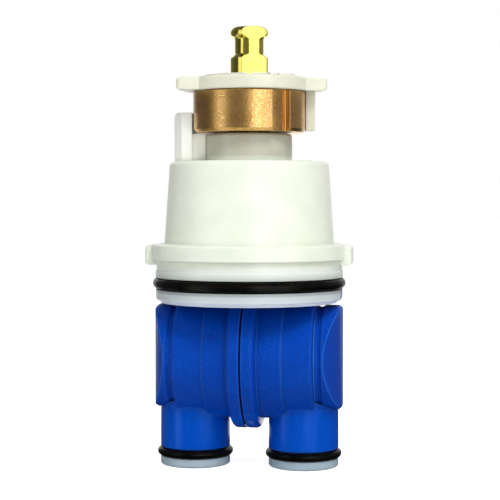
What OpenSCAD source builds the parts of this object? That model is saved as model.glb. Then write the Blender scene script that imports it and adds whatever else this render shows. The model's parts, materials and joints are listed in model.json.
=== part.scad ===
// Pressure balance cartridge for a tub and shower valve. Millimetres, +Z up along the stem.
// The origin lies on the stem's axis, level with the open ends of the two inlets. The front faces -Y.

/* [Inlet tubes] */
// Distance between the axes of the two inlet tubes
inlet_spread = 27.4; // [26.4:0.1:28.4]
// Outer diameter of an inlet tube
tube_d = 17.4; // [16.8:0.1:18]
// Diameter of the waterway through an inlet
inlet_bore_d = 12; // [10:0.1:12.6]
// Height of the flange on an inlet's end ring
end_ring_h = 2.2; // [1.8:0.1:3]
// Outer diameter of the end ring's spigot, which the tube grips
spigot_d = 14.84; // [14.4:0.02:15.2]
// How far the spigot reaches into the tube
spigot_depth = 4.8; // [3:0.1:5.5]
// Section of the inlet O-rings
inlet_oring_w = 2; // [1.6:0.1:2.2]
// Bevel round the lower edge of an end ring
end_ring_bevel = 0.4; // [0.2:0.1:0.6]

/* [Balance drum] */
// Height of the drum's axis above the inlet ends
drum_z = 27.3; // [26.5:0.1:29]
// Radius of the two flanges that clamp the diaphragm
flange_r = 17.9; // [17.4:0.05:18.2]
// Half width of the clamp flanges at their rim
rim_half = 3.4; // [2.8:0.05:3.6]
// How much thicker a clamp flange is at its root
flange_draft = 0.25; // [0.1:0.05:0.6]
// Rounding of a clamp flange's outer corner
flange_round = 1.2; // [0.6:0.1:1.3]
// Radius of the drum beside the flanges
drum_near_r = 15.4; // [15.1:0.05:15.8]
// Radius of the drum at its ends
drum_far_r = 14.9; // [14.4:0.05:15.1]
// Distance from the seam to the step between the two radii
near_len = 9.7; // [9.2:0.05:10.2]
// Distance from the seam to the end of a housing half
far_len = 17.15; // [16.8:0.05:17.5]
// Gap between the housing halves, filled by the diaphragm
seam = 0.45; // [0.4:0.05:0.8]
// Radius of the chamber on each side of the diaphragm
chamber_r = 12.3; // [11.8:0.05:12.8]
// Radius of the bore that takes an end cap
end_bore_r = 11.6; // [11.2:0.05:12]
// Thickness of the partition between inlet and balance chamber
partition_t = 1.5; // [1.2:0.05:1.8]
// Radius of the throttling hole in the partition
orifice_r = 4.6; // [4.2:0.05:5]
// Radius of a register peg in the clamp flange
peg_r = 0.9; // [0.7:0.05:1]
// Radius of the circle on which the register pegs stand
peg_circle_r = 14; // [13.7:0.05:14.3]
// Number of register pegs
peg_count = 6; // [3:1:8]
// Rounding of a half's outer edge
drum_round = 0.7; // [0.5:0.05:0.8]
// How far a peg reaches past the seam's middle
peg_reach = 2.2; // [1.6:0.1:2.6]

/* [End caps] */
// Radius of an end cap's head
head_r = 13; // [12.6:0.05:13.15]
// Radius of the round envelope that trims the heads to fit the valve body
envelope_r = 23.5; // [23:0.05:23.8]
// Length of the shallow valley round a head, beside the housing half
valley_len = 2; // [1.6:0.1:2.4]
// Depth of that valley
valley_depth = 0.5; // [0.2:0.05:0.6]
// Rounding of a head's outer edge
head_round = 1.3; // [0.8:0.1:1.8]
// Length of the plug that enters the housing
plug_len = 2.4; // [2.2:0.05:2.8]
// Section of the end cap O-rings
plug_oring_w = 1.34; // [1.2:0.02:1.4]
// Width of the lip in front of the plug's O-ring groove
plug_lip = 0.45; // [0.4:0.05:0.5]
// Depth of the coring inside the plug
core_depth = 3.7; // [3:0.1:4.4]
// Wall between the coring and the O-ring groove
core_wall = 1.4; // [1.2:0.1:1.8]
// Wall round the blind bore that guides the spool
guide_wall = 1.8; // [1.5:0.1:2.2]
// Depth of the blind bore that guides the spool, from the plug's inner face
guide_depth = 5.9; // [5.7:0.1:6.6]

/* [Balance spool] */
// Diameter of the spool's shaft
shaft_d = 3.2; // [2.8:0.1:3.6]
// Travel of the spool each way from the middle
spool_travel = 1.2; // [0.8:0.1:1.2]
// Radius of a poppet
poppet_r = 5.4; // [5.1:0.1:6]
// Thickness of a poppet's disc
poppet_t = 1.6; // [1.2:0.1:1.7]
// Length of the poppet's nose
nose_len = 1.2; // [0.8:0.1:1.3]
// How much the nose's tip is smaller than the throttling hole's radius
nose_taper = 1; // [0.7:0.1:1.2]
// Radius of the plates that back the diaphragm
backing_r = 8.4; // [7.8:0.1:8.6]
// Thickness of a backing plate
backing_t = 1.2; // [0.8:0.1:1.5]
// How far the diaphragm's edge stays inside the rim of the clamp flanges
diaphragm_inset = 0.8; // [0.3:0.1:1.2]
// Mean radius of the diaphragm's rolled fold
fold_r = 10.4; // [10.2:0.05:10.5]
// Radius of the fold's section at mid thickness
fold_section_r = 1.4; // [1.2:0.05:1.45]

/* [Deck and seats] */
// Radius of the deck that closes the cap's skirt
deck_r = 18.7; // [18.3:0.05:18.9]
// Thickness of the deck
deck_t = 3.7; // [3.2:0.05:4]
// Radius of the circle on which the two seats stand
seat_circle_r = 10; // [9.8:0.05:10.2]
// Angle between the two seats, seen from the stem's axis
seat_angle = 80; // [76:1:90]
// Outer radius of a seat
seat_r = 4.3; // [4:0.05:4.4]
// Radius of the waterway through a seat
seat_bore_r = 2.2; // [1.8:0.05:2.4]
// Depth of a seat's pocket in the deck
pocket_depth = 4.9; // [4.6:0.1:5]
// Wall round a seat's pocket
pocket_wall = 1.3; // [1.1:0.05:1.5]
// Radius of the port between pocket and balance chamber
port_r = 2; // [1.6:0.1:2.2]
// How far the port stands from the seat's axis along X and Y, toward the stem
port_offset = 0.8; // [0.5:0.1:1]
// Height of the room for its spring inside a seat
spring_room = 2.6; // [2.4:0.1:2.8]
// Wire of a seat spring
spring_wire = 0.6; // [0.4:0.05:0.7]
// Turns of a seat spring
spring_turns = 3.5; // [3:0.5:4]
// Travel of a seat into its pocket
seat_travel = 0.6; // [0.4:0.1:0.6]
// Inner radius of the outlet windows in the deck
outlet_inner_r = 7; // [6.6:0.1:7.4]
// Width of the deck's rim outside the outlet windows
outlet_rim = 2; // [1.6:0.1:2.4]
// Angle over which an outlet window reaches
outlet_angle = 50; // [44:1:54]
// Width of the wall that carries the deck above the clamp flange
spine_w = 16; // [12:0.5:18]
// Thickness of that wall in each half
spine_t = 2.6; // [2:0.1:3]

/* [Cap skirt and flange] */
// Inner radius of the skirt
skirt_bore_r = 19; // [18.95:0.05:19.4]
// Depth of the skirt's bore, which the deck closes
skirt_depth = 8; // [7.8:0.1:8.2]
// Radius of the thin lip at the skirt's lower edge
lip_r = 22.2; // [21.8:0.1:22.6]
// Height of that lip
lip_h = 0.6; // [0.4:0.1:1]
// Radius of the land below the O-ring
lower_land_r = 23.35; // [23:0.05:23.6]
// Height of the land below the O-ring
lower_land_h = 2.7; // [2.4:0.1:2.8]
// Depth of the O-ring groove below the larger land
groove_depth = 2.2; // [2:0.05:2.4]
// Width of the O-ring groove
groove_w = 2.95; // [2.9:0.05:3.1]
// Section of the cap's O-ring
cap_oring_w = 2.8; // [2.7:0.02:2.84]
// Radius of the land above the O-ring
upper_land_r = 23.4; // [23.2:0.05:23.7]
// Height of the land above the O-ring
upper_land_h = 1.85; // [1.6:0.05:2.2]
// Radius of the relief under the flange
relief_r = 23.2; // [22.8:0.05:23.3]
// Height of the relief under the flange
relief_h = 2.55; // [2.2:0.05:2.8]
// Radius of the flange that the bonnet nut clamps
rim_r = 24.25; // [24:0.05:24.6]
// Thickness of that flange
rim_t = 3.8; // [3.4:0.1:4.4]
// Reach of the two keys from the axis
key_reach = 25.9; // [25.4:0.1:26.4]
// Width of a key
key_w = 8; // [7:0.1:10]
// How far the keys hang below the flange
key_drop = 1.4; // [0.8:0.1:2]
// Rounding of the keys' upright corners
key_round = 1; // [0.6:0.1:1.2]
// Rounding of the keys' upper and lower edges
key_edge = 1.1; // [0.6:0.1:1.1]
// Width of the windows that take the housing's snap lugs
window_w = 6.4; // [5.6:0.1:7]

/* [Cap cup, neck and post] */
// Radius of the cup where it leaves the flange
cup_base_r = 21.2; // [21:0.05:21.8]
// Radius of the cup at its top
cup_top_r = 19.85; // [19.2:0.05:20.2]
// Height of the cup above the flange
cup_h = 20.45; // [19.5:0.05:22]
// Rounding of the cup's upper edge
cup_round = 1.2; // [0.6:0.1:1.6]
// Thickness of the cup's roof
roof_t = 3.8; // [3:0.1:4.2]
// Inner radius of the cup above the deck
cavity_r = 17.9; // [17.6:0.1:18.2]
// Inner radius of the cup under its roof
cavity_top_r = 16.4; // [15.8:0.1:16.8]
// Radius of the neck that carries the stem
neck_r = 10.7; // [10.4:0.05:11.2]
// Height of the neck
neck_h = 6.9; // [6.6:0.1:7.4]
// Rounding of the neck's upper edge
neck_round = 0.8; // [0.4:0.1:1]
// Depth of the recess in the neck's top that takes the retaining clip
clip_recess = 1; // [0.8:0.1:1.4]
// How far the bearing boss hangs under the roof
boss_drop = 2; // [1.4:0.1:2.6]
// Radius of that boss
boss_r = 9.6; // [9.4:0.1:10.4]
// Radius of the stop post's outer face
post_reach = 18.65; // [18.2:0.05:18.7]
// Width of the stop post
post_w = 7.5; // [6:0.1:8.5]
// Height of the stop post above the cup
post_h = 12.2; // [11:0.1:13]
// Chamfer of the post's outer corners
post_chamfer = 2.2; // [1.6:0.1:2.6]
// Rounding of the post's upper edge
post_round = 1.2; // [0.8:0.1:1.6]
// Gap between the stop hub and the post's inner face
post_gap = 0.3; // [0.3:0.05:0.6]

/* [Stem] */
// Diameter of the stem's handle end
stem_d = 9.4; // [9:0.05:9.6]
// Distance across the stem's two flats
stem_flats = 6.7; // [6.3:0.05:7]
// Diameter of the waist under the head
waist_d = 7.2; // [7:0.05:7.6]
// Length of the stem above the limit stop
stem_out = 12.7; // [12:0.05:14]
// Height of the stem's head
head_h = 3.1; // [2.8:0.1:3.6]
// Height of the waist between the head and the lower cone
waist_h = 3.6; // [3:0.1:4]
// Height of the cone below the waist
cone_h = 1; // [0.8:0.1:1.6]
// Diameter of the stem's journal in the neck
journal_d = 10; // [9.7:0.05:10.3]
// Diameter of the thrust collar under the boss
collar_d = 15.2; // [14.4:0.1:16]
// Thickness of the thrust collar
collar_t = 2.2; // [1.8:0.1:2.8]
// Thickness of the thrust washer
thrust_t = 0.7; // [0.5:0.05:0.9]
// Diameter of the stem's driving end
drive_d = 8; // [7.6:0.1:8.4]
// Distance across the flats of the driving end
drive_flats = 5.4; // [5:0.1:6]
// Section of the stem's O-rings
stem_oring_w = 1.7; // [1.5:0.05:1.75]
// Distance between the two stem O-rings
stem_oring_pitch = 5; // [4:0.1:5.6]
// Thickness of the retaining clip
clip_t = 0.6; // [0.5:0.05:0.7]
// Outer radius of the retaining clip
clip_r = 6.9; // [6.4:0.1:7.4]
// Depth of the stem's groove for the clip
clip_groove = 0.8; // [0.6:0.05:1]
// Width of the clip's opening
clip_opening = 3.6; // [3:0.1:4.2]
// How much the thrust washer is wider than the collar
washer_margin = 0.9; // [0.6:0.1:1.2]

/* [Stop hub and limit stop] */
// Radius of the stop hub
hub_r = 14; // [13.6:0.05:14.1]
// Height of the stop hub
hub_h = 10.15; // [9.9:0.05:11]
// Gap between the neck and the stop hub
hub_gap = 0.3; // [0.3:0.05:0.6]
// Width of the bevel round the hub's lower edge
hub_bevel_w = 0.5; // [0.3:0.1:0.8]
// Height of that bevel
hub_bevel_h = 0.8; // [0.4:0.1:1.2]
// Width of the notch in the hub's rim, in degrees
notch_angle = 21; // [16:1:26]
// Depth of that notch
notch_depth = 1.5; // [1:0.1:1.8]
// Radius of the spline's roots on the hub
spline_r = 8; // [7.8:0.1:8.4]
// Height of a spline tooth
tooth_h = 0.75; // [0.6:0.05:0.8]
// Number of spline teeth
tooth_count = 24; // [20:2:28]
// Radius of the limit stop's disc
stop_r = 14.9; // [14.6:0.05:15.2]
// Thickness of the limit stop's disc
stop_t = 3.3; // [3:0.1:3.5]
// Reach of the limit stop's two ears from the axis
ear_reach = 18.65; // [18:0.05:19.4]
// Thickness of an ear
ear_t = 3.1; // [2.8:0.1:3.3]
// Distance from the axis to the straight side of the ears
ear_front = 7; // [6:0.1:8]
// Width of an ear at its root
ear_root_w = 13; // [11:0.2:14]
// Width of an ear at its tip
ear_tip_w = 2.4; // [2.2:0.1:4]
// Rounding of the corners at an ear's tip
ear_round = 1; // [0.6:0.1:1.1]
// Radius of the raised segments round the hub's spline
crown_r = 11.4; // [11:0.1:11.8]
// Height of the raised segments
crown_h = 0.6; // [0.4:0.1:0.8]
// Number of raised segments
crown_count = 8; // [6:1:10]
// Height of the two marks on the disc's rim
mark_h = 0.35; // [0.2:0.05:0.5]
// Outer radius of the hanging stop tab
tab_reach = 16.45; // [16:0.05:16.8]
// Width of the stop tab, in degrees
tab_angle = 20; // [14:1:24]
// How far the stop tab hangs below the hub's upper face
tab_drop = 9.6; // [9.2:0.1:9.8]

/* [Valve rotor] */
// Radius of the rotor's disc
rotor_r = 15.9; // [15.6:0.05:16.2]
// Thickness of the rotor's disc above the metering plate
rotor_t = 3; // [2.4:0.1:3.6]
// Radius of the metering plate
plate_r = 14.9; // [14.6:0.05:15.1]
// Thickness of the metering plate
plate_t = 1.5; // [1.2:0.1:1.8]
// Radius of the rotor's hub
rotor_hub_r = 6; // [5.6:0.1:6.6]
// Gap between the deck and the metering plate
plate_gap = 1; // [0.9:0.05:1.2]
// Angle over which the metering slot reaches
slot_sweep = 220; // [200:2:230]
// Radius of the two pins that turn the metering plate
drive_pin_r = 1.2; // [1:0.05:1.4]

/* [Hidden] */
$fn = 96;
// How far a cut or a joined block runs past a face
over = 1;
// Clearances of parts that fit or run in each other
run_fit = 0.08;
snug = 0.05;
rubber_gap = 0.02;
face_gap = 0.1;
free_gap = 0.3;
lug_gap = 0.6;
// The stop set and the stem stand turned by these angles when at rest
stop_clock = 8;
flat_clock = -68;
notch_clock = -55.5;
tab_clock = 4;
ear_clock = 7;
// Shares of the pitch that a spline tooth takes at its root and at its tip
root_share = 0.72;
tip_share = 0.36;
// Azimuth at which an outlet window starts, beside the seam
outlet_start = -72;
// Lean of the cup's tapered wall
cup_lean = 4;
// Azimuths of the two pins that turn the metering plate
drive_pin_at = [205, 265];
// Angle between two raised segments, and the start and width of the marks on the stop's rim
crown_gap = 6;
rim_marks = [[-70, 8], [-60.5, 19.5]];
mark_w = 1.9;
tab_gap = 0.15;
// Small edges and roundings
edge = 0.3;
fine_edge = 0.2;
seam_edge = 0.15;
small_round = 0.4;

// Flare below the stem's head, from its waist up: shares of the step in radius and of the head's height
flare_reach = [0.2, 0.7, 1];
flare_rise = [0.1, 0.25, 0.4];
// Rounding of the stem's head, as a share of its height
head_round_share = 0.45;

// How far the tube's round bore stays below the drum's wall
drum_inset = 0.5;
// Angles that the metering slot keeps from the off position and from a seat that it must not reach
off_margin = 1;
seat_margin = 30;

// Heights, from the inlets up
inlet_x = inlet_spread / 2;
tube_r = tube_d / 2;
tube_z = end_ring_h + inlet_oring_w + 2 * face_gap;
waterway_top = drum_z - drum_far_r - drum_inset;
deck_z = drum_z + flange_r - snug;
deck_top = deck_z + deck_t;
skirt_z = deck_top + snug - skirt_depth;
land_z = skirt_z + lip_h;
groove_z = land_z + lower_land_h;
upper_land_z = groove_z + groove_w;
relief_z = upper_land_z + upper_land_h;
rim_z = relief_z + relief_h;
cup_z = rim_z + rim_t;
cup_top = cup_z + cup_h;
neck_top = cup_top + neck_h;
clip_floor = neck_top - clip_recess;
roof_z = cup_top - roof_t;
boss_z = roof_z - boss_drop;
seal_z = (boss_z + clip_floor) / 2;
plate_z = deck_top + plate_gap;
rotor_z = plate_z + plate_t + snug;
thrust_z = boss_z - 2 * face_gap - thrust_t;
collar_z = thrust_z - snug - collar_t;
hub_z = neck_top + hub_gap;
hub_top = hub_z + hub_h;
stop_z = hub_top + snug;
stop_top = stop_z + stop_t;
stem_top = stop_top + stem_out;

// Distances along the drum's axis
seam_face = seam / 2;
root_half = rim_half + flange_draft;
partition_x = near_len - partition_t;
plug_x = far_len - plug_len;
head_x = far_len + snug + valley_len;
guide_r = shaft_d / 2 + snug;
poppet_x = near_len + spool_travel + 2 * face_gap;
shaft_half = plug_x + guide_depth - spool_travel - 2 * face_gap;
diaphragm_t = seam - snug;
diaphragm_r = flange_r - diaphragm_inset;

// Fits of rings and grooves
groove_r = max(lower_land_r, upper_land_r) - groove_depth;
spigot_r = spigot_d / 2;
socket_r = spigot_r + run_fit;
plug_r = end_bore_r - run_fit;
plug_groove_r = plug_r - plug_oring_w;
journal_r = journal_d / 2;
journal_bore_r = journal_r + run_fit;
collar_r = collar_d / 2;
stem_r = stem_d / 2;
stem_groove_r = journal_r - stem_oring_w;
spline_tip_r = spline_r + tooth_h;
pocket_r = seat_r + free_gap;
pocket_z = deck_top - pocket_depth;
seat_z = pocket_z + seat_travel + face_gap;
seat_top = plate_z - face_gap;
spring_top = seat_z + spring_room;
coil_r = seat_bore_r + spring_wire + free_gap;
seat_at = [seat_circle_r * sin(seat_angle / 2), seat_circle_r * cos(seat_angle / 2)];
port_at = [seat_at[0] - port_offset, seat_at[1] - port_offset];

// The valve is off against the post one way and full hot against it the other way
post_inner = hub_r + post_gap;
post_angle = 2 * asin(post_w / 2 / post_inner);
stop_angle = stop_clock + tab_clock;
open_at_rest = 180 + stop_angle - tab_angle / 2 - post_angle / 2 - off_margin;
slot_end = 90 - seat_angle / 2 + open_at_rest - seat_margin;

// Points along an arc, for the rounded corners of a profile
function arc(centre, radius, from, to, steps = 6) =
  [for (i = [0:steps]) let (a = from + (to - from) * i / steps)
    centre + radius * [cos(a), sin(a)]];

// Outline of a toothed shaft or bore; the flanks slope so that the teeth mesh with clearance
function spline_outline(root_r, tip_r, play) =
  let (pitch = 360 / tooth_count, root = root_share / 2 + play / 4, tip = tip_share / 2 + play / 4)
  [for (i = [0:tooth_count - 1], corner = [
      [root_r + play, -root], [tip_r + play, -tip], [tip_r + play, tip], [root_r + play, root]])
    let (a = (i + corner[1]) * pitch) corner[0] * [cos(a), sin(a)]];

// Turns a child's Z axis to lie along the drum's axis
module along_drum() {
  translate([0, 0, drum_z])
    rotate([0, 90, 0])
      children();
}

module ring(outer_r, inner_r, height) {
  difference() {
    cylinder(r = outer_r, h = height);
    translate([0, 0, -over])
      cylinder(r = inner_r, h = height + 2 * over);
  }
}

module o_ring(inner_r, section) {
  rotate_extrude()
    translate([inner_r + section / 2, 0])
      circle(d = section, $fn = 48);
}

// Part of a ring between two radii, over an angle that starts at the given azimuth
module ring_sector(outer_r, inner_r, height, start, sweep) {
  rotate([0, 0, start])
    rotate_extrude(angle = sweep)
      translate([inner_r, 0])
        square([outer_r - inner_r, height]);
}

// Round bar with two flats
module double_d(radius, flats, height) {
  intersection() {
    cylinder(r = radius, h = height);
    translate([-radius - over, -flats / 2, -over])
      cube([2 * (radius + over), flats, height + 2 * over]);
  }
}

// Solid of revolution of one housing half, from the seam out: clamp flange, then two steps
module drum_body() {
  wall_angle = 90 - atan(flange_draft / (flange_r - flange_round - drum_near_r));
  rotate_extrude()
    polygon(concat(
      [[0, seam_face], [flange_r - seam_edge, seam_face], [flange_r, seam_face + seam_edge]],
      arc([flange_r - flange_round, rim_half - flange_round], flange_round, 0, wall_angle),
      [[drum_near_r, root_half]],
      arc([drum_near_r - edge, near_len - edge], edge, 0, 90, 3),
      [[drum_far_r, near_len]],
      arc([drum_far_r - drum_round, far_len - drum_round], drum_round, 0, 90),
      [[0, far_len]]
    ));
}

// Waterway of one half: balance chamber, throttling hole, inlet chamber and the slot from the tube
module drum_waterway() {
  slot_w = inlet_bore_d - 2 * over;
  slot_top = drum_z - orifice_r + small_round;
  along_drum() {
    translate([0, 0, seam_face - over])
      cylinder(r = chamber_r, h = partition_x - seam_face + over);
    cylinder(r = orifice_r, h = near_len + over);
    translate([0, 0, near_len])
      cylinder(r = end_bore_r, h = far_len - near_len + over);
  }
  translate([near_len + edge, -slot_w / 2, waterway_top - over])
    cube([plug_x - near_len - 2 * edge, slot_w, slot_top - waterway_top + over]);
}

// Tube that joins the drum from below; past the half's end its top is hollowed to the end cap's round
module inlet_tube() {
  difference() {
    translate([inlet_x, 0, tube_z])
      rotate_extrude()
        polygon([[0, 0], [tube_r - edge, 0], [tube_r, edge], [tube_r, drum_z - tube_z], [0, drum_z - tube_z]]);
    along_drum()
      translate([0, 0, far_len])
        cylinder(r = head_r + face_gap, h = tube_d);
  }
}

// Half of the round deck, with the tower of one seat and the arm of one snap lug
module deck_half() {
  lug_w = window_w - 2 * lug_gap;
  arm_inner = far_len - lug_gap;
  tower_z = drum_z + orifice_r;
  spine_z = drum_z + drum_near_r - over;
  intersection() {
    union() {
      translate([0, 0, deck_z])
        cylinder(r = deck_r, h = deck_t);
      translate([arm_inner, -lug_w / 2, skirt_z + small_round])
        cube([deck_r - arm_inner + over, lug_w, deck_z - skirt_z]);
    }
    translate([face_gap / 2, -deck_r - over, skirt_z])
      cube([deck_r + over, 2 * (deck_r + over), 2 * skirt_depth]);
    translate([0, 0, skirt_z])
      cylinder(r = deck_r, h = 2 * skirt_depth);
  }
  translate([seat_at[0], seat_at[1], tower_z])
    cylinder(r = pocket_r + pocket_wall, h = deck_z - tower_z + over);
  translate([seam_face, -spine_w / 2, spine_z])
    cube([spine_t, spine_w, deck_z - spine_z + small_round]);
  intersection() {
    translate([deck_r - over, -lug_w / 2, land_z + small_round])
      cube([lower_land_r - deck_r + 2 * over, lug_w, lower_land_h - 2 * small_round]);
    cylinder(r = lower_land_r - free_gap, h = groove_z);
  }
}

module housing_half(pegs) {
  difference() {
    union() {
      along_drum() drum_body();
      inlet_tube();
      deck_half();
    }
    drum_waterway();
    translate([inlet_x, 0, tube_z - over])
      cylinder(r = socket_r, h = spigot_depth + over + face_gap);
    translate([inlet_x, 0, tube_z])
      cylinder(r = inlet_bore_d / 2, h = waterway_top - tube_z);
    translate([seat_at[0], seat_at[1], pocket_z])
      cylinder(r = pocket_r, h = pocket_depth + over);
    translate([port_at[0], port_at[1], drum_z])
      cylinder(r = port_r, h = pocket_z - drum_z + over);
    translate([0, 0, deck_z - over])
      ring_sector(deck_r - outlet_rim, outlet_inner_r, deck_t + 2 * over, outlet_start, outlet_angle);
    if (!pegs)
      register_pegs(peg_r + snug, 0, peg_reach + face_gap);
  }
  if (pegs)
    register_pegs(peg_r, -peg_reach, peg_reach + seam_face + small_round);
}

module register_pegs(radius, from, length) {
  along_drum()
    for (i = [0:peg_count - 1])
      rotate([0, 0, (i + 0.5) * 360 / peg_count])
        translate([peg_circle_r, 0, from])
          cylinder(r = radius, h = length, $fn = 32);
}

module housing_left() {
  color("royalblue")
    mirror([1, 0, 0])
      housing_half(true);
}

module housing_right() {
  color("royalblue")
    housing_half(false);
}

// Plug with an O-ring groove, a guide bore for the spool and a head trimmed to the round envelope
module end_cap() {
  groove_x = plug_x + plug_lip;
  groove_end = groove_x + plug_oring_w + 2 * face_gap;
  valley_r = (pow(valley_len / 2, 2) + pow(valley_depth, 2)) / (2 * valley_depth);
  valley_angle = asin(valley_len / 2 / valley_r);
  intersection() {
    along_drum()
      difference() {
        rotate_extrude()
          polygon(concat(
            [[0, plug_x], [plug_r - edge, plug_x], [plug_r, plug_x + edge]],
            [[plug_r, groove_x], [plug_groove_r, groove_x], [plug_groove_r, groove_end], [plug_r, groove_end]],
            [[plug_r, far_len + snug]],
            arc([head_r - valley_depth + valley_r, head_x - valley_len / 2], valley_r,
              180 + valley_angle, 180 - valley_angle, 8),
            arc([head_r - head_round, envelope_r - head_round], head_round, 0, 90),
            [[0, envelope_r]]
          ));
        translate([0, 0, plug_x - over])
          cylinder(r = guide_r, h = guide_depth + over);
        translate([0, 0, plug_x - over])
          ring(plug_groove_r - core_wall, guide_r + guide_wall, core_depth + over);
      }
    cylinder(r = envelope_r, h = 2 * drum_z);
  }
}

module end_cap_left() {
  color("royalblue")
    mirror([1, 0, 0])
      end_cap();
}

module end_cap_right() {
  color("royalblue")
    end_cap();
}

module end_cap_oring() {
  along_drum()
    translate([0, 0, plug_x + plug_lip + face_gap + plug_oring_w / 2])
      o_ring(plug_groove_r + rubber_gap, plug_oring_w);
}

module end_cap_oring_left() {
  color([0.1, 0.1, 0.1])
    mirror([1, 0, 0])
      end_cap_oring();
}

module end_cap_oring_right() {
  color([0.1, 0.1, 0.1])
    end_cap_oring();
}

// End ring: a flange and a spigot that the tube grips, with the O-ring trapped between them
module inlet_ring(side) {
  translate([side * inlet_x, 0, 0])
    rotate_extrude()
      polygon([
        [inlet_bore_d / 2 + edge, 0], [tube_r - end_ring_bevel, 0], [tube_r, end_ring_bevel],
        [tube_r, end_ring_h], [spigot_r, end_ring_h], [spigot_r, tube_z + spigot_depth],
        [inlet_bore_d / 2, tube_z + spigot_depth], [inlet_bore_d / 2, edge]
      ]);
}

module inlet_ring_left() {
  color("silver")
    inlet_ring(-1);
}

module inlet_ring_right() {
  color("silver")
    inlet_ring(1);
}

module inlet_oring(side) {
  translate([side * inlet_x, 0, end_ring_h + face_gap + inlet_oring_w / 2])
    o_ring(spigot_r + snug, inlet_oring_w);
}

module inlet_oring_left() {
  color([0.1, 0.1, 0.1])
    inlet_oring(-1);
}

module inlet_oring_right() {
  color([0.1, 0.1, 0.1])
    inlet_oring(1);
}

// Rubber disc clamped between the halves, with a rolled fold that lets its middle move
module diaphragm() {
  half_t = diaphragm_t / 2;
  outer_fold = fold_section_r + half_t;
  inner_fold = fold_section_r - half_t;
  outer_a = asin(half_t / outer_fold);
  inner_a = -asin(half_t / inner_fold);
  color([0.12, 0.12, 0.12])
    difference() {
      along_drum()
        rotate_extrude()
          polygon(concat(
            [[guide_r, -half_t], [guide_r, half_t]],
            arc([fold_r, 0], outer_fold, 180 - outer_a, outer_a, 12),
            [[diaphragm_r, half_t], [diaphragm_r, -half_t]],
            arc([fold_r, 0], inner_fold, inner_a, 180 - inner_a, 12)
          ));
      register_pegs(peg_r + snug, -seam, 2 * seam);
    }
}

module spool_shaft() {
  color("silver")
    along_drum()
      translate([0, 0, -shaft_half])
        rotate_extrude()
          polygon([
            [0, 0], [shaft_d / 2 - edge, 0], [shaft_d / 2, edge],
            [shaft_d / 2, 2 * shaft_half - edge], [shaft_d / 2 - edge, 2 * shaft_half], [0, 2 * shaft_half]
          ]);
}

// Disc with a coned nose that throttles the hole in the partition
module poppet() {
  nose_r = orifice_r - nose_taper;
  along_drum()
    rotate_extrude()
      polygon([
        [guide_r, poppet_x - nose_len], [nose_r, poppet_x - nose_len], [orifice_r - free_gap, poppet_x],
        [poppet_r, poppet_x], [poppet_r, poppet_x + poppet_t - edge],
        [poppet_r - edge, poppet_x + poppet_t], [guide_r, poppet_x + poppet_t]
      ]);
}

module poppet_left() {
  color("ivory")
    mirror([1, 0, 0])
      poppet();
}

module poppet_right() {
  color("ivory")
    poppet();
}

module backing_plate() {
  along_drum()
    rotate_extrude()
      polygon([
        [guide_r, seam_face], [backing_r - edge, seam_face], [backing_r, seam_face + edge],
        [backing_r, seam_face + backing_t - edge], [backing_r - edge, seam_face + backing_t],
        [guide_r, seam_face + backing_t]
      ]);
}

module backing_plate_left() {
  color("silver")
    mirror([1, 0, 0])
      backing_plate();
}

module backing_plate_right() {
  color("silver")
    backing_plate();
}

// Rubber cup that its spring presses against the metering plate
module seat(side) {
  room_r = coil_r + spring_wire / 2 + 2 * face_gap;
  translate([side * seat_at[0], seat_at[1], 0])
    rotate_extrude()
      polygon([
        [seat_bore_r, spring_top], [room_r, spring_top], [room_r, seat_z], [seat_r, seat_z],
        [seat_r, seat_top - 2 * edge], [seat_r - 2 * edge, seat_top], [seat_bore_r + fine_edge, seat_top],
        [seat_bore_r, seat_top - fine_edge]
      ]);
}

module seat_left() {
  color([0.15, 0.15, 0.15])
    seat(-1);
}

module seat_right() {
  color([0.15, 0.15, 0.15])
    seat(1);
}

// Round wire swept along a helix, one ring of points after another
module coil_spring(radius, wire_d, bottom, top, turns) {
  sides = 8;
  rings = round(18 * turns);
  rise = top - bottom - wire_d;
  points = [for (i = [0:rings], j = [0:sides - 1])
    let (turn = 360 * turns * i / rings, side = 360 * j / sides, reach = radius + wire_d / 2 * cos(side))
      [reach * cos(turn), reach * sin(turn), bottom + wire_d / 2 * (1 + sin(side)) + rise * i / rings]];
  walls = [for (i = [0:rings - 1], j = [0:sides - 1])
    let (a = i * sides + j, b = i * sides + (j + 1) % sides)
      [a, b, b + sides, a + sides]];
  ends = [[for (j = [sides - 1:-1:0]) j], [for (j = [0:sides - 1]) rings * sides + j]];
  polyhedron(points, concat(walls, ends), convexity = 10);
}

module seat_spring(side) {
  translate([side * seat_at[0], seat_at[1], 0])
    coil_spring(coil_r, spring_wire, pocket_z + snug, spring_top - snug, spring_turns);
}

module seat_spring_left() {
  color("silver")
    seat_spring(-1);
}

module seat_spring_right() {
  color("silver")
    seat_spring(1);
}

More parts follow.
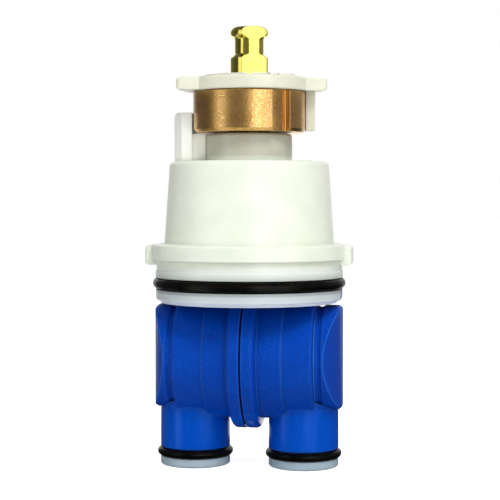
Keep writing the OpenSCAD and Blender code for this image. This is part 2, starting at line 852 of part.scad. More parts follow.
// Revolved shell of the cap, from the skirt's bore round the outside and back down the cavity
module cap_shell() {
  rotate_extrude()
    polygon(concat(
      [[skirt_bore_r, skirt_z + edge], [skirt_bore_r + edge, skirt_z]],
      [[lip_r - fine_edge, skirt_z], [lip_r, skirt_z + fine_edge], [lip_r, land_z]],
      [[lower_land_r - small_round, land_z], [lower_land_r, land_z + small_round], [lower_land_r, groove_z]],
      [[groove_r, groove_z], [groove_r, upper_land_z], [upper_land_r, upper_land_z]],
      [[upper_land_r, relief_z - fine_edge], [upper_land_r - fine_edge, relief_z]],
      [[relief_r, relief_z], [relief_r, rim_z], [rim_r - fine_edge, rim_z], [rim_r, rim_z + fine_edge]],
      arc([rim_r - small_round, cup_z - small_round], small_round, 0, 90, 4),
      arc([cup_base_r + small_round, cup_z + small_round], small_round, 270, 180 + cup_lean, 3),
      arc([cup_top_r - cup_round, cup_top - cup_round], cup_round, cup_lean, 90, 6),
      [[neck_r, cup_top]],
      arc([neck_r - neck_round, neck_top - neck_round], neck_round, 0, 90, 5),
      [[clip_r + lug_gap, neck_top], [clip_r + lug_gap, clip_floor]],
      [[journal_bore_r + edge, clip_floor], [journal_bore_r, clip_floor - edge]],
      [[journal_bore_r, boss_z], [boss_r, boss_z], [boss_r, roof_z]],
      arc([cavity_top_r - cup_round, roof_z - cup_round], cup_round, 90, cup_lean, 4),
      [[cavity_r, deck_top + snug], [skirt_bore_r, deck_top + snug]]
    ));
}

// Key on the flange: a block with rounded corners and edges that locates the cartridge in the valve body
module key() {
  key_z = rim_z - key_drop;
  half = key_w / 2;
  inner = cup_base_r + small_round;
  intersection() {
    translate([0, 0, key_z])
      linear_extrude(cup_z - key_z)
        polygon(concat(
          [[inner, half], [inner, -half]],
          arc([key_reach - key_round, key_round - half], key_round, -90, 0),
          arc([key_reach - key_round, half - key_round], key_round, 0, 90)
        ));
    translate([0, half + over, 0])
      rotate([90, 0, 0])
        linear_extrude(key_w + 2 * over)
          polygon(concat(
            [[inner - over, cup_z - fine_edge], [inner - over, key_z]],
            arc([key_reach - key_edge, key_z + key_edge], key_edge, -90, 0),
            arc([key_reach - key_edge, cup_z - fine_edge - key_edge], key_edge, 0, 90)
          ));
  }
}

// Upright post that ends the stem's travel, hollowed to the hub's round, with a web to the neck
module stop_post() {
  half = post_w / 2;
  web_w = post_w - 2 * small_round;
  post_foot = cup_top - over;
  post_top = cup_top + post_h;
  intersection() {
    ring(post_reach + over, post_inner, post_top + over);
    translate([0, 0, post_foot])
      linear_extrude(post_h + 2 * over)
        polygon([
          [post_inner - over, -half], [post_reach - post_chamfer, -half], [post_reach, -half + post_chamfer],
          [post_reach, half - post_chamfer], [post_reach - post_chamfer, half], [post_inner - over, half]
        ]);
    translate([0, half + over, 0])
      rotate([90, 0, 0])
        linear_extrude(post_w + 2 * over)
          polygon(concat(
            [[post_inner - over, post_foot], [post_reach, post_foot]],
            arc([post_reach - post_round, post_top - post_round], post_round, 0, 90, 5),
            [[post_inner - over, post_top]]
          ));
  }
  translate([neck_r - over, -web_w / 2, post_foot])
    cube([post_inner - neck_r + 2 * over, web_w, neck_top - post_foot]);
}

module cap() {
  color("ghostwhite")
    difference() {
      union() {
        cap_shell();
        for (turn = [0, 180])
          rotate([0, 0, turn])
            key();
        rotate([0, 0, 180])
          stop_post();
      }
      for (turn = [0, 180])
        rotate([0, 0, turn])
          translate([skirt_bore_r - over, -window_w / 2, land_z + fine_edge])
            cube([lower_land_r - skirt_bore_r + 2 * over, window_w, lower_land_h - 2 * fine_edge]);
    }
}

module cap_oring() {
  color([0.1, 0.1, 0.1])
    translate([0, 0, groove_z + groove_w / 2])
      o_ring(groove_r + snug, cap_oring_w);
}

// Turned stem: head, waist, handle end, journal with two O-ring grooves, collar and driving end
module stem() {
  waist_r = waist_d / 2;
  head_z = stem_top - head_h;
  waist_z = head_z - waist_h;
  head_round_r = head_round_share * head_h;
  flare = [
    for (i = [0 : len(flare_rise) - 1])
      [waist_r + flare_reach[i] * (stem_r - waist_r), head_z + flare_rise[i] * head_h]
  ];
  color("gold")
    rotate([0, 0, stop_clock])
      difference() {
        union() {
          rotate([0, 0, flat_clock + 90])
            intersection() {
              double_d(journal_r + over, stem_flats, stem_top);
              rotate_extrude()
                polygon(concat(
                  [[0, hub_z - over], [stem_r, hub_z - over], [stem_r, waist_z - cone_h], [waist_r, waist_z]],
                  [[waist_r, head_z]],
                  flare,
                  arc([stem_r - head_round_r, stem_top - head_round_r], head_round_r, 0, 90, 6),
                  [[0, stem_top]]
                ));
            }
          translate([0, 0, collar_z])
            cylinder(r = journal_r, h = hub_z - collar_z);
          translate([0, 0, collar_z])
            cylinder(r = collar_r, h = collar_t);
          translate([0, 0, rotor_z + over])
            double_d(drive_d / 2, drive_flats, collar_z - rotor_z);
        }
        for (side = [-1, 1])
          translate([0, 0, seal_z + side * stem_oring_pitch / 2 - stem_oring_w / 2 - face_gap])
            ring(journal_r + over, stem_groove_r, stem_oring_w + 2 * face_gap);
        translate([0, 0, clip_floor + face_gap])
          ring(journal_r + over, journal_r - clip_groove, clip_t + 2 * face_gap);
      }
}

module stem_oring(side) {
  translate([0, 0, seal_z + side * stem_oring_pitch / 2])
    o_ring(stem_groove_r + rubber_gap, stem_oring_w - 2 * rubber_gap);
}

module stem_oring_upper() {
  color([0.1, 0.1, 0.1])
    stem_oring(1);
}

module stem_oring_lower() {
  color([0.1, 0.1, 0.1])
    stem_oring(-1);
}

module thrust_washer() {
  color("white")
    translate([0, 0, thrust_z])
      ring(collar_r + washer_margin, journal_bore_r, thrust_t);
}

// Open ring that snaps into the stem's groove, in the recess of the neck
module retaining_clip() {
  color("silver")
    rotate([0, 0, stop_clock])
      translate([0, 0, clip_floor + 2 * face_gap])
        difference() {
          ring(clip_r, journal_r - clip_groove + snug, clip_t);
          translate([-clip_opening / 2, 0, -over])
            cube([clip_opening, clip_r + over, clip_t + 2 * over]);
        }
}

// Plastic rotor that the stem turns; it carries the metering plate in a recess below
module valve_rotor() {
  hub_h = collar_z - rotor_z - free_gap;
  color("white")
    rotate([0, 0, stop_clock])
      difference() {
        union() {
          translate([0, 0, plate_z + free_gap])
            cylinder(r = rotor_r, h = rotor_z - plate_z - free_gap + rotor_t);
          translate([0, 0, rotor_z])
            cylinder(r = rotor_hub_r, h = hub_h);
        }
        difference() {
          translate([0, 0, plate_z])
            cylinder(r = plate_r + face_gap, h = rotor_z - plate_z);
          drive_pins(drive_pin_r);
        }
        translate([0, 0, rotor_z - over])
          metering_slot(rotor_t + 2 * over, fine_edge);
        translate([0, 0, rotor_z + over - face_gap])
          double_d(drive_d / 2 + snug, drive_flats + 2 * snug, hub_h);
      }
}

// Crescent over the seats' circle: it uncovers the cold seat first, then both, then the hot one
module metering_slot(height, play) {
  ring_sector(
    seat_circle_r + seat_bore_r + play, seat_circle_r - seat_bore_r - play, height,
    slot_end - slot_sweep - stop_clock - play, slot_sweep + 2 * play
  );
}

module drive_pins(radius) {
  for (turn = drive_pin_at)
    rotate([0, 0, turn])
      translate([seat_circle_r + over, 0, plate_z + face_gap])
        cylinder(r = radius, h = plate_t + over, $fn = 32);
}

module metering_plate() {
  color("lightgrey")
    rotate([0, 0, stop_clock])
      difference() {
        translate([0, 0, plate_z])
          cylinder(r = plate_r, h = plate_t);
        translate([0, 0, plate_z - over])
          metering_slot(plate_t + 2 * over, 0);
        for (drop = [0, over])
          translate([0, 0, -drop])
            drive_pins(drive_pin_r + snug);
      }
}

// Sintered hub on the stem's flats, with a notched rim and the spline that holds the limit stop
module stop_hub() {
  color("goldenrod")
    rotate([0, 0, stop_clock])
      difference() {
        union() {
          translate([0, 0, hub_z])
            rotate_extrude()
              polygon([
                [0, 0], [hub_r - hub_bevel_w, 0], [hub_r, hub_bevel_h], [hub_r, hub_h - edge],
                [hub_r - edge, hub_h], [0, hub_h]
              ]);
          translate([0, 0, hub_top - over])
            linear_extrude(over + stop_t - small_round)
              polygon(spline_outline(spline_r, spline_tip_r, 0));
        }
        translate([0, 0, hub_z - over])
          ring_sector(
            hub_r + over, hub_r - notch_depth, hub_h + 2 * over, notch_clock - notch_angle / 2, notch_angle
          );
        rotate([0, 0, flat_clock + 90])
          translate([0, 0, hub_z - over])
            double_d(stem_r + snug, stem_flats + 2 * snug, hub_h + stop_t + 2 * over);
      }
}

// One ear of the limit stop: a wedge from the disc with one straight side and a rounded tip
module ear() {
  front = -ear_front;
  tip = front + ear_tip_w;
  root_x = hub_r;
  lean = atan((ear_root_w - ear_tip_w) / (ear_reach - root_x));
  intersection() {
    linear_extrude(ear_t)
      polygon(concat(
        [[spline_tip_r + over, front + ear_root_w], [spline_tip_r + over, front]],
        arc([ear_reach - ear_round, front + ear_round], ear_round, -90, 0, 5),
        arc([ear_reach - ear_round, tip - ear_round], ear_round, 0, 90 - lean, 5),
        [[root_x, front + ear_root_w]]
      ));
    translate([0, ear_root_w, 0])
      rotate([90, 0, 0])
        linear_extrude(2 * ear_root_w)
          polygon(concat(
            [[0, ear_t], [0, 0]],
            arc([ear_reach - ear_round, ear_round], ear_round, -90, 0, 5),
            arc([ear_reach - ear_round, ear_t - ear_round], ear_round, 0, 90, 5)
          ));
  }
}

// White disc with an internal spline, two ears for lifting it and the tab that meets the post
module limit_stop() {
  crown_pitch = 360 / crown_count;
  color("white")
    rotate([0, 0, stop_clock])
      difference() {
        union() {
          translate([0, 0, stop_z])
            rotate_extrude()
              polygon([
                [0, 0], [stop_r - fine_edge, 0], [stop_r, fine_edge], [stop_r, stop_t - small_round],
                [stop_r - small_round, stop_t], [0, stop_t]
              ]);
          translate([0, 0, stop_z])
            rotate([0, 0, ear_clock])
              for (side = [0, 1])
                mirror([side, 0, 0])
                  ear();
          for (i = [0:crown_count - 1])
            translate([0, 0, stop_top - over])
              ring_sector(crown_r, spline_tip_r + over, over + crown_h, i * crown_pitch + crown_gap / 2,
                crown_pitch - crown_gap);
          for (mark = rim_marks)
            translate([0, 0, stop_top - over])
              ring_sector(stop_r - fine_edge, stop_r - mark_w, over + mark_h, mark[0], mark[1]);
          translate([0, 0, hub_top - tab_drop])
            ring_sector(tab_reach, hub_r + tab_gap, tab_drop + ear_t / 2, tab_clock - tab_angle / 2, tab_angle);
        }
        translate([0, 0, stop_z - over])
          linear_extrude(stop_t + crown_h + 2 * over)
            polygon(spline_outline(spline_r, spline_tip_r, face_gap));
      }
}

cap();
cap_oring();
housing_left();
housing_right();
end_cap_left();
end_cap_right();
end_cap_oring_left();
end_cap_oring_right();
inlet_ring_left();
inlet_ring_right();
inlet_oring_left();
inlet_oring_right();
diaphragm();
spool_shaft();
poppet_left();
poppet_right();
backing_plate_left();
backing_plate_right();
seat_left();
seat_right();
seat_spring_left();
seat_spring_right();
stem();
stem_oring_upper();
stem_oring_lower();
thrust_washer();
retaining_clip();
valve_rotor();
metering_plate();
stop_hub();
limit_stop();
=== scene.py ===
"""Dresses the pressure balance cartridge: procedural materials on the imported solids, studio and camera."""
import json
import math

import bmesh
import bpy
from mathutils import Matrix, Vector

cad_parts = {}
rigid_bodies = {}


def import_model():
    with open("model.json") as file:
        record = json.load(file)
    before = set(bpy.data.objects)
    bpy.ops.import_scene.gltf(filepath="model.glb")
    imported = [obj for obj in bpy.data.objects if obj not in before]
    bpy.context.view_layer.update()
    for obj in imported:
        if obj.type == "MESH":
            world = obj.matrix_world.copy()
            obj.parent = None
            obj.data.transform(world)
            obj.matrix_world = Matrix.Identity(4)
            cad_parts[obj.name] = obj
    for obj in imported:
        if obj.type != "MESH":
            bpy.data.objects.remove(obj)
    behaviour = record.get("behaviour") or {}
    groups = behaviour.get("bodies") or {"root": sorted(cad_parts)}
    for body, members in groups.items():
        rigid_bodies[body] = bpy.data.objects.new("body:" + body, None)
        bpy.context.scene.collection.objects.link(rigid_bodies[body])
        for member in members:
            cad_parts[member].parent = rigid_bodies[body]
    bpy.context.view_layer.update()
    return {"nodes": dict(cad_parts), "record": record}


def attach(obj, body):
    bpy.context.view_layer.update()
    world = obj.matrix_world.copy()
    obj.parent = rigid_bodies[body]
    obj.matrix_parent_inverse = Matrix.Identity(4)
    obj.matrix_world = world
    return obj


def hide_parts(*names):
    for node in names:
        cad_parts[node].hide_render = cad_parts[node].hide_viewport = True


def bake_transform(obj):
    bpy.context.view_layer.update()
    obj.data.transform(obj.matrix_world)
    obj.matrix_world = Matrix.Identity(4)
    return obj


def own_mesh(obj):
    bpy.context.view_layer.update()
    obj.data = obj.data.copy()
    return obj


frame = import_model()

# Camera, read from the photograph at a quarter of a millimetre a pixel on the stem's axis
CAMERA_AZIMUTH = math.radians(8)
CAMERA_DISTANCE = 0.3625
CAMERA_HEIGHT = 0.0665
AIM_HEIGHT = 0.0538
AIM_SIDE = 0.00018
LENS = 104.4

# Distance and height of the cards' edges: upright wall, hood over it, sheet on the floor, and the
# dark foot of that sheet under the object, a painted shadow of the object that reflections see
WALL_PROFILE = ((0.75, 0.0), (0.75, 0.5))
HOOD_PROFILE = ((0.75, 0.5), (0.45, 0.9), (0.02, 1.0))
SHEET_PROFILE = ((0.04, 0.0003), (0.75, 0.0003))
FOOT_SHADOW_PROFILE = ((0.001, 0.0003), (0.04, 0.0003))

# Light levels of the world and of the floor as the camera sees it
WORLD_LEVEL = 0.28
FLOOR_GLOW = 0.82

# Soft boxes: name, degrees to the right of the camera, distance, height, size and power
LAMPS = (
    ("key", 28, 0.6, 0.17, (0.42, 0.3), 0.3),
    ("high", 18, 0.42, 0.55, (0.22, 0.22), 2.45),
    ("top", 0, 0.05, 0.7, (0.5, 0.5), 0.65),
    ("low", 5, 0.5, 0.02, (0.5, 0.03), 0.36),
    ("fill", -62, 0.6, 0.22, (0.3, 0.4), 0.53),
    ("side", 80, 0.6, 0.3, (0.3, 0.3), 0.27),
    ("rear", 185, 0.6, 0.35, (0.4, 0.3), 0.6),
)

# Cards that only reflections see: name, first and last degree to the right of the camera, levels of
# the wall and of the sheet on the floor
CARDS = (
    ("rim", -150, -105, 0.14, 0.1),
    ("left", -105, -70, 0.08, 0.03),
    ("strip", -69, -52, 1.4, 1.9),
    ("front", -51, 7, 0.19, 0.03),
    ("key_left", 8, 23, 3.3, 1.4),
    ("key", 23, 33, 0.85, 1.2),
    ("key_right", 33, 46, 2.4, 1.2),
    ("right", 47, 150, 0.25, 0.03),
)
HOOD_LEVEL = 0.14
# Level of the foot: painted shadow of the object on the floor, as reflections see it
FOOT_SHADOW_LEVEL = 0.03
CARD_STEPS = 24

FLOOR_REACH = 4.0
WHITE = (1, 1, 1, 1)
BLACK = (0, 0, 0, 1)

# Height below which the blue housing is bare inlet tube
TUBE_TOP = 0.0145

# Pale plastic: how far light scatters inside it, and how much of red, green and blue
SCATTER_DEPTH = 0.002
SCATTER_RADII = (1.0, 1.0, 0.8)

# The cap's neck: height of its foot and its outer radius
NECK_FOOT = 0.0758
NECK_RADIUS = 0.0107

# The cap's heights below its flange, for bands of painted shade and light, with the blue behind the wall
# showing low down
FLANGE_FOOT = 0.0506
LAND_TOP = 0.049
GROOVE_TOP = 0.04715
GROOVE_FOOT = 0.0442
LIP_TOP = 0.0415

# The diaphragm: height of the drum's axis, and the number of sectors that it is cut into
DRUM_HEIGHT = 0.0273
SECTORS = 12

# Points closer than this are one point of a mesh, and a point this close to a cut lies on it
WELD = 1e-6
ON_CUT = 1e-7


# Shader building

def add_node(tree, kind, inputs=None, **settings):
    """A node of that kind; inputs are socket values or the sockets to link, settings are its own fields."""
    node = tree.nodes.new(kind)
    for field, value in settings.items():
        setattr(node, field, value)
    for socket, value in (inputs or {}).items():
        if isinstance(value, bpy.types.NodeSocket):
            tree.links.new(value, node.inputs[socket])
        else:
            node.inputs[socket].default_value = value
    return node


def new_material(name):
    """An empty node material and its Principled shader, wired to the output."""
    material = bpy.data.materials.new(name)
    material.use_nodes = True
    tree = material.node_tree
    tree.nodes.clear()
    shader = add_node(tree, "ShaderNodeBsdfPrincipled")
    add_node(tree, "ShaderNodeOutputMaterial", {"Surface": shader.outputs["BSDF"]})
    return material, tree, shader


def noise(tree, scale, detail=3.0, stretch=(1, 1, 1)):
    """Noise in the object's own space, in features per metre; stretch draws it out along an axis."""
    place = add_node(tree, "ShaderNodeTexCoord").outputs["Object"]
    mapping = add_node(tree, "ShaderNodeMapping", {"Vector": place, "Scale": stretch})
    return add_node(
        tree, "ShaderNodeTexNoise",
        {"Vector": mapping.outputs["Vector"], "Scale": scale, "Detail": detail},
    ).outputs["Fac"]


def remap(tree, value, low, high, to_low=0.0, to_high=1.0):
    """The value stretched from one range to another and clamped there."""
    return add_node(
        tree, "ShaderNodeMapRange",
        {"Value": value, "From Min": low, "From Max": high, "To Min": to_low, "To Max": to_high},
    ).outputs["Result"]


def blend_colours(tree, factor, first, second):
    """Two colours mixed by a factor; each is a colour or a socket."""
    mix = add_node(tree, "ShaderNodeMix", data_type="RGBA")
    sockets = {
        "Factor_Float": factor,
        "A_Color": first,
        "B_Color": second,
    }
    for socket in mix.inputs:
        value = sockets.get(socket.identifier)
        if isinstance(value, bpy.types.NodeSocket):
            tree.links.new(value, socket)
        elif value is not None:
            socket.default_value = value if isinstance(value, float) else (*value, 1)
    return next(out for out in mix.outputs if out.identifier == "Result_Color")


def soft_edges(tree, radius):
    """A normal that rounds the edges, and a mask that is 1 on them."""
    bevel = add_node(tree, "ShaderNodeBevel", {"Radius": radius}, samples=6)
    geometry = add_node(tree, "ShaderNodeNewGeometry")
    facing = add_node(
        tree, "ShaderNodeVectorMath",
        {0: bevel.outputs["Normal"], 1: geometry.outputs["Normal"]},
        operation="DOT_PRODUCT",
    ).outputs["Value"]
    return bevel.outputs["Normal"], remap(tree, facing, 0.99, 0.75)


def crevice_shade_mask(tree, reach):
    """1 deep in a corner or gap and 0 in the open, judged within that reach in metres; the materials darken
    their colour there as painted shade.
    """
    openness = add_node(
        tree, "ShaderNodeAmbientOcclusion", {"Distance": reach}, samples=6,
    ).outputs["AO"]
    return remap(tree, openness, 0.85, 0.25)


def place_parts(tree):
    """The height and the distance from the stem's axis of a point, in metres."""
    place = add_node(tree, "ShaderNodeTexCoord").outputs["Object"]
    height = add_node(tree, "ShaderNodeSeparateXYZ", {"Vector": place}).outputs["Z"]
    level = add_node(tree, "ShaderNodeMapping", {"Vector": place, "Scale": (1, 1, 0)}).outputs["Vector"]
    reach = add_node(tree, "ShaderNodeVectorMath", {0: level}, operation="LENGTH").outputs["Value"]
    return height, reach


def neck_shade_mask(tree):
    """1 on the cap's neck, whose colour is darkened there as painted shade under the hub."""
    height, reach = place_parts(tree)
    above = remap(tree, height, NECK_FOOT, NECK_FOOT + 0.0015)
    within = remap(tree, reach, NECK_RADIUS + 0.0006, NECK_RADIUS + 0.0002)
    return add_node(tree, "ShaderNodeMath", {0: above, 1: within}, operation="MULTIPLY").outputs[0]


def between(start, end):
    """A mask that rises from 0 at one height to 1 at another, above or below it."""
    return lambda tree: remap(tree, place_parts(tree)[0], start, end)


def bump(tree, height, distance, normal, strength=1.0):
    """A bump of that depth in metres on top of a normal."""
    return add_node(
        tree, "ShaderNodeBump",
        {"Height": height, "Distance": distance, "Strength": strength, "Normal": normal},
    ).outputs["Normal"]


def finish_surface(tree, shader, tint, gloss, normal, constants):
    """Wires colour, roughness and normal, and sets the values that are the same all over."""
    tree.links.new(tint, shader.inputs["Base Color"])
    tree.links.new(gloss, shader.inputs["Roughness"])
    tree.links.new(normal, shader.inputs["Normal"])
    for socket, value in constants.items():
        shader.inputs[socket].default_value = value


def moulded_blue(name):
    """Blue moulded plastic: grained drum, smoother tubes with drag marks and a painted paler blue, pale
    edges that are part wear and part painted highlight, and painted shade in corners.
    """
    material, tree, shader = new_material(name)
    normal, edges = soft_edges(tree, 0.0005)
    mottle = remap(tree, noise(tree, 160, 4), 0.3, 0.7)
    grain = remap(tree, noise(tree, 2600, 2), 0.35, 0.65)
    drag = noise(tree, 1400, 2, (1, 1, 0.03))
    height, _ = place_parts(tree)
    tube = remap(tree, height, TUBE_TOP + 0.001, TUBE_TOP - 0.001)
    tint = blend_colours(tree, mottle, (0.0, 0.068, 0.5), (0.0, 0.05, 0.43))
    tint = blend_colours(tree, grain, tint, (0.0, 0.04, 0.34))
    # Painted light: the tubes get a paler blue than the drum, to lift them.
    tube_painted_light_tint = blend_colours(tree, grain, (0.0, 0.078, 0.54), (0.0, 0.06, 0.44))
    tint = blend_colours(tree, tube, tint, tube_painted_light_tint)
    # Pale edges: part wear, part painted highlight.
    tint = blend_colours(tree, edges, tint, (0.05, 0.24, 0.85))
    # Painted shade: the blue darkens in corners and gaps.
    tint = blend_colours(tree, crevice_shade_mask(tree, 0.0015), tint, (0.0, 0.02, 0.16))
    rough = remap(tree, tube, 0.0, 1.0, 0.42, 0.22)
    marks = remap(tree, drag, 0.35, 0.65, -0.05, 0.05)
    gloss = add_node(tree, "ShaderNodeMath", {0: rough, 1: marks}, operation="ADD").outputs[0]
    grained = bump(tree, grain, 0.00001, normal, 0.6)
    finish_surface(tree, shader, tint, gloss, grained, {
        "Specular IOR Level": 0.42,
        "Specular Tint": (0.2, 0.45, 1.0, 1),
    })
    return material


def plastic(name, colour, shade, edge_wear_and_highlight, roughness, shine=0.5, depth=0.0, shade_and_showthrough_bands=()):
    """Moulded plastic: mottling, flow lines, painted shade in corners, pale edges that are part wear and
    part painted highlight, and a fine mould texture.

    Depth is the share of the light that scatters inside. The bands are pairs of a mask and the colour
    painted there: painted shade and light by height, and on a thin wall the blue behind it as well.
    """
    material, tree, shader = new_material(name)
    normal, edges = soft_edges(tree, 0.0003)
    mottle = remap(tree, noise(tree, 160, 4), 0.3, 0.7)
    flow = remap(tree, noise(tree, 230, 2, (1, 1, 0.06)), 0.35, 0.75, 0.0, 0.5)
    tint = blend_colours(tree, mottle, colour, shade)
    tint = blend_colours(tree, flow, tint, shade)
    # Pale edges: part wear, part painted highlight.
    tint = blend_colours(tree, edges, tint, edge_wear_and_highlight)
    # Bands of painted shade and light by height; low on the cap's skirt also the blue behind the thin wall.
    for mask, band_colour in shade_and_showthrough_bands:
        tint = blend_colours(tree, mask(tree), tint, band_colour)
    # Painted shade: the colour darkens in corners and gaps.
    painted_crevice_shade = blend_colours(tree, 0.25, tint, (0.1, 0.11, 0.11))
    tint = blend_colours(tree, crevice_shade_mask(tree, 0.002), tint, painted_crevice_shade)
    fine = noise(tree, 9000, 2)
    gloss = remap(tree, noise(tree, 900, 3), 0.3, 0.7, roughness - 0.05, roughness + 0.06)
    finish_surface(tree, shader, tint, gloss, bump(tree, fine, 0.00001, normal, 0.6), {
        "Specular IOR Level": shine,
        "Subsurface Weight": depth,
        "Subsurface Radius": SCATTER_RADII,
        "Subsurface Scale": SCATTER_DEPTH,
    })
    return material


def rubber(name, colour, smeared):
    """Greased rubber with a sheen that varies from place to place."""
    material, tree, shader = new_material(name)
    normal, _ = soft_edges(tree, 0.0001)
    smear = remap(tree, noise(tree, 260, 3), 0.35, 0.7)
    tint = blend_colours(tree, smear, colour, smeared)
    gloss = remap(tree, noise(tree, 420, 4), 0.3, 0.7, 0.24, 0.42)
    grained = bump(tree, noise(tree, 5000, 3), 0.00001, normal, 0.5)
    finish_surface(tree, shader, tint, gloss, grained, {"Specular IOR Level": 0.13})
    return material


def polished_brass(name):
    """Turned and polished brass with faint tool rings."""
    material, tree, shader = new_material(name)
    normal, edges = soft_edges(tree, 0.00025)
    patina = remap(tree, noise(tree, 300, 3), 0.35, 0.75)
    tint = blend_colours(tree, patina, (0.78, 0.7, 0.15), (0.7, 0.58, 0.11))
    tint = blend_colours(tree, edges, tint, (0.9, 0.82, 0.32))
    rings = noise(tree, 60, 2, (1, 1, 90))
    gloss = remap(tree, noise(tree, 800, 3), 0.3, 0.7, 0.08, 0.17)
    turned = bump(tree, rings, 0.000004, normal, 0.5)
    finish_surface(tree, shader, tint, gloss, turned, {"Metallic": 1.0})
    return material


def sintered_bronze(name):
    """Pressed and sintered bronze: bright grains, dark pores and brown stains."""
    material, tree, shader = new_material(name)
    normal, edges = soft_edges(tree, 0.00025)
    stain = remap(tree, noise(tree, 130, 4), 0.35, 0.7)
    grains = remap(tree, noise(tree, 4400, 2), 0.5, 0.66)
    pores = remap(tree, noise(tree, 5200, 1), 0.6, 0.7)
    tint = blend_colours(tree, stain, (0.86, 0.45, 0.1), (0.66, 0.3, 0.05))
    tint = blend_colours(tree, grains, tint, (0.95, 0.8, 0.42))
    tint = blend_colours(tree, pores, tint, (0.16, 0.08, 0.03))
    tint = blend_colours(tree, edges, tint, (0.95, 0.75, 0.4))
    gloss = remap(tree, grains, 0.0, 1.0, 0.36, 0.22)
    pressed = bump(tree, noise(tree, 3000, 3), 0.00005, normal, 0.7)
    finish_surface(tree, shader, tint, gloss, pressed, {
        "Metallic": 1.0,
        "Coat Weight": 0.5,
        "Coat Roughness": 0.25,
    })
    return material


def brushed_steel(name):
    """Spring steel with fine drawn lines."""
    material, tree, shader = new_material(name)
    normal, _ = soft_edges(tree, 0.0001)
    lines = noise(tree, 900, 3, (1, 1, 12))
    tint = blend_colours(tree, remap(tree, lines, 0.3, 0.7), (0.5, 0.5, 0.52), (0.68, 0.68, 0.7))
    gloss = remap(tree, lines, 0.3, 0.7, 0.25, 0.4)
    drawn = bump(tree, lines, 0.000005, normal, 0.5)
    finish_surface(tree, shader, tint, gloss, drawn, {"Metallic": 1.0})
    return material


# Materials of the record's slots
materials = {
    "white_cap": plastic(
        "white_cap", (0.87, 0.89, 0.78), (0.78, 0.84, 0.72), (0.92, 0.94, 0.86), 0.34,
        shine=0.4, depth=0.2,
        shade_and_showthrough_bands=(
            # Painted light: everything above the cup's top is lifted paler.
            (between(NECK_FOOT, NECK_FOOT + 0.001), (0.96, 0.98, 0.9)),
            # Painted shade: the neck darkened as under the hub's shadow.
            (neck_shade_mask, (0.51, 0.51, 0.42)),
            # Painted shade: the relief under the flange is darker.
            (between(FLANGE_FOOT, LAND_TOP), (0.76, 0.82, 0.77)),
            # Painted shade: the upper land darkens towards the O-ring.
            (between(LAND_TOP, GROOVE_TOP), (0.5, 0.55, 0.5)),
            # Painted shadow: the O-ring's shadow on the land below it.
            (between(GROOVE_TOP, GROOVE_FOOT), (0.36, 0.4, 0.41)),
            # The lower land, darker and bluer: part painted shade, part the blue behind the thin wall.
            (between(GROOVE_FOOT - 0.0005, GROOVE_FOOT - 0.0009), (0.56, 0.62, 0.64)),
            # The lip, paler and bluer: part painted light, part the blue behind the thin wall.
            (between(LIP_TOP + 0.0008, LIP_TOP), (0.74, 0.81, 0.93)),
        ),
    ),
    "white_stop": plastic(
        "white_stop", (0.77, 0.77, 0.63), (0.71, 0.71, 0.59), (0.86, 0.87, 0.76), 0.34,
        shine=0.4, depth=0.3,
    ),
    "blue_housing": moulded_blue("blue_housing"),
    "grey_ring": plastic(
        "grey_ring", (0.42, 0.53, 0.6), (0.35, 0.45, 0.52), (0.55, 0.64, 0.7), 0.36,
    ),
    "inner_plastic": plastic(
        "inner_plastic", (0.78, 0.78, 0.74), (0.72, 0.72, 0.68), (0.85, 0.85, 0.82), 0.4,
    ),
    "black_rubber": rubber("black_rubber", (0.001, 0.001, 0.001), (0.004, 0.0035, 0.003)),
    "polished_brass": polished_brass("polished_brass"),
    "sintered_bronze": sintered_bronze("sintered_bronze"),
    "steel": brushed_steel("steel"),
}


def dress(node, material):
    """Puts a material on every slot of a CAD node."""
    for material_slot in frame["nodes"][node].material_slots:
        material_slot.material = material


for subpart in frame["record"]["subparts"]:
    dress(subpart["node"], materials[subpart["material_slot"]])

# The diaphragm gets a very dark blue rubber, so that the seam shows navy and not black
dress("diaphragm", rubber("navy_rubber", (0.0, 0.003, 0.08), (0.001, 0.006, 0.11)))


# Soft pieces, copied from their CAD solids

def soft_copy(name, node):
    """A copy that stands for a soft CAD solid, which is hidden."""
    piece = bpy.data.objects.new(name, frame["nodes"][node].data.copy())
    bpy.context.collection.objects.link(piece)
    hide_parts(node)
    return piece


def flexible_spring(node, joint):
    """A copy of a seat spring, attached to the parent body of its seat's joint."""
    spring = soft_copy(node + "_coil", node)
    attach(spring, joint["parent"])
    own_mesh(spring)


def keep_sector(piece, centre, middle, half):
    """Cuts a mesh down to the sector about the X axis between middle - half and middle + half."""
    mesh = bmesh.new()
    mesh.from_mesh(piece.data)
    bmesh.ops.remove_doubles(mesh, verts=mesh.verts, dist=WELD)
    for side in (-1, 1):
        edge = middle + side * half
        outward = Vector((0, -math.sin(edge), math.cos(edge))) * side
        cut = bmesh.ops.bisect_plane(
            mesh, geom=mesh.verts[:] + mesh.edges[:] + mesh.faces[:], dist=ON_CUT,
            plane_co=centre, plane_no=outward, clear_outer=True,
        )
        rim = [part for part in cut["geom_cut"] if isinstance(part, bmesh.types.BMEdge)]
        bmesh.ops.holes_fill(mesh, edges=rim)
    mesh.to_mesh(piece.data)
    mesh.free()


def flexible_diaphragm():
    """The diaphragm cut into sectors about the drum's axis."""
    centre = Vector((0, 0, DRUM_HEIGHT))
    half = math.pi / SECTORS
    for i in range(SECTORS):
        middle = 2 * half * i
        sector = soft_copy(f"diaphragm_sector_{i + 1}", "diaphragm")
        keep_sector(sector, centre, middle, half)
        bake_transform(sector)


joints = {joint["name"]: joint for joint in frame["record"]["behaviour"]["joints"]}
flexible_spring("seat_spring_left", joints["hot_seat_slide"])
flexible_spring("seat_spring_right", joints["cold_seat_slide"])
flexible_diaphragm()


# Studio

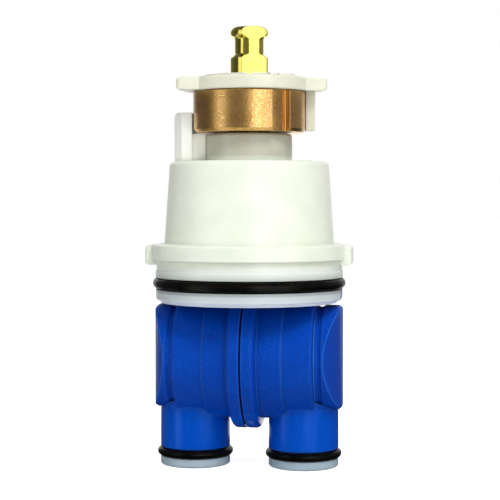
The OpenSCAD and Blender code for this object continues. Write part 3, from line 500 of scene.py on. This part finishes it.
def seen_directly(tree):
    """1 for rays from the camera and from glossy or clear surfaces, and 0 for the rest of the light."""
    path = add_node(tree, "ShaderNodeLightPath")
    seen = path.outputs["Is Camera Ray"]
    for ray in ("Is Glossy Ray", "Is Transmission Ray"):
        seen = add_node(
            tree, "ShaderNodeMath", {0: seen, 1: path.outputs[ray]}, operation="MAXIMUM",
        ).outputs[0]
    return seen


def add_floor():
    """A wide pale floor that shows as white to the camera and keeps a soft shadow."""
    mesh = bpy.data.meshes.new("floor")
    corners = [(x * FLOOR_REACH, y * FLOOR_REACH, 0) for x, y in ((-1, -1), (1, -1), (1, 1), (-1, 1))]
    mesh.from_pydata(corners, [], [(0, 1, 2, 3)])
    floor = bpy.data.objects.new("floor", mesh)
    bpy.context.collection.objects.link(floor)
    material, tree, shader = new_material("floor")
    shader.inputs["Base Color"].default_value = (0.8, 0.8, 0.8, 1)
    shader.inputs["Roughness"].default_value = 0.9
    shader.inputs["Specular IOR Level"].default_value = 0.0
    glow = remap(tree, seen_directly(tree), 0.0, 1.0, 0.0, FLOOR_GLOW)
    shader.inputs["Emission Color"].default_value = WHITE
    tree.links.new(glow, shader.inputs["Emission Strength"])
    mesh.materials.append(material)


def add_world():
    """White background for the camera and for reflections, and a plain level of light for the rest."""
    world = bpy.data.worlds.new("studio")
    bpy.context.scene.world = world
    world.use_nodes = True
    tree = world.node_tree
    tree.nodes.clear()
    level = remap(tree, seen_directly(tree), 0.0, 1.0, WORLD_LEVEL, 1.0)
    sky = add_node(tree, "ShaderNodeBackground", {"Color": WHITE, "Strength": level})
    add_node(tree, "ShaderNodeOutputWorld", {"Surface": sky.outputs["Background"]})


def around(side, distance, height):
    """A point at that many degrees to the right of the camera, as seen from the object."""
    angle = CAMERA_AZIMUTH + math.radians(side)
    return Vector((math.sin(angle) * distance, -math.cos(angle) * distance, height))


def look_at(place, target):
    """The pose of a lamp or camera at a place that looks at a target."""
    turn = (target - place).to_track_quat("-Z", "Y").to_matrix().to_4x4()
    return Matrix.Translation(place) @ turn


def add_lamp(name, side, distance, height, size, power):
    """A soft box that looks at the object; reflections see the cards and not the lamps."""
    data = bpy.data.lights.new(name, "AREA")
    data.shape = "RECTANGLE"
    data.size, data.size_y = size
    data.energy = power
    lamp = bpy.data.objects.new(name, data)
    lamp.matrix_world = look_at(around(side, distance, height), Vector((0, 0, AIM_HEIGHT)))
    lamp.visible_glossy = False
    bpy.context.collection.objects.link(lamp)


def add_card(name, profile, start, end, glow):
    """A card that only reflections see: a profile swept between two angles to the right of the camera."""
    mesh = bpy.data.meshes.new(name)
    angles = [start + (end - start) * step / CARD_STEPS for step in range(CARD_STEPS + 1)]
    points = [around(angle, distance, z) for distance, z in profile for angle in angles]
    row = len(angles)
    faces = []
    for level in range(len(profile) - 1):
        for i in range(level * row, level * row + CARD_STEPS):
            faces.append((i, i + 1, row + i + 1, row + i))
    mesh.from_pydata(points, [], faces)
    card = bpy.data.objects.new(name, mesh)
    bpy.context.collection.objects.link(card)
    material, tree, shader = new_material(name)
    shader.inputs["Base Color"].default_value = BLACK
    shader.inputs["Specular IOR Level"].default_value = 0.0
    shader.inputs["Emission Color"].default_value = WHITE
    shader.inputs["Emission Strength"].default_value = glow
    mesh.materials.append(material)
    card.visible_camera = False
    card.visible_diffuse = False
    card.visible_shadow = False
    card.visible_transmission = False


def add_camera():
    """The camera at the photograph's angle."""
    data = bpy.data.cameras.new("camera")
    data.sensor_width = 36.0
    data.lens = LENS
    data.clip_start = 0.01
    data.clip_end = 20
    camera = bpy.data.objects.new("camera", data)
    sideways = around(90, AIM_SIDE, 0)
    place = around(0, CAMERA_DISTANCE, CAMERA_HEIGHT) + sideways
    target = Vector((0, 0, AIM_HEIGHT)) + sideways
    camera.matrix_world = look_at(place, target)
    bpy.context.collection.objects.link(camera)
    bpy.context.scene.camera = camera


add_world()
add_floor()
add_camera()
for lamp_name, side, distance, height, size, power in LAMPS:
    add_lamp(lamp_name, side, distance, height, size, power)
for card_name, first, last, wall, sheet in CARDS:
    add_card("card_" + card_name, WALL_PROFILE, first, last, wall)
    add_card("sheet_" + card_name, SHEET_PROFILE, first, last, sheet)
add_card("hood", HOOD_PROFILE, -180, 180, HOOD_LEVEL)
# The foot: painted shadow of the object on the floor, as reflections see it
add_card("foot", FOOT_SHADOW_PROFILE, -180, 180, FOOT_SHADOW_LEVEL)

bpy.context.scene.view_settings.view_transform = "Standard"
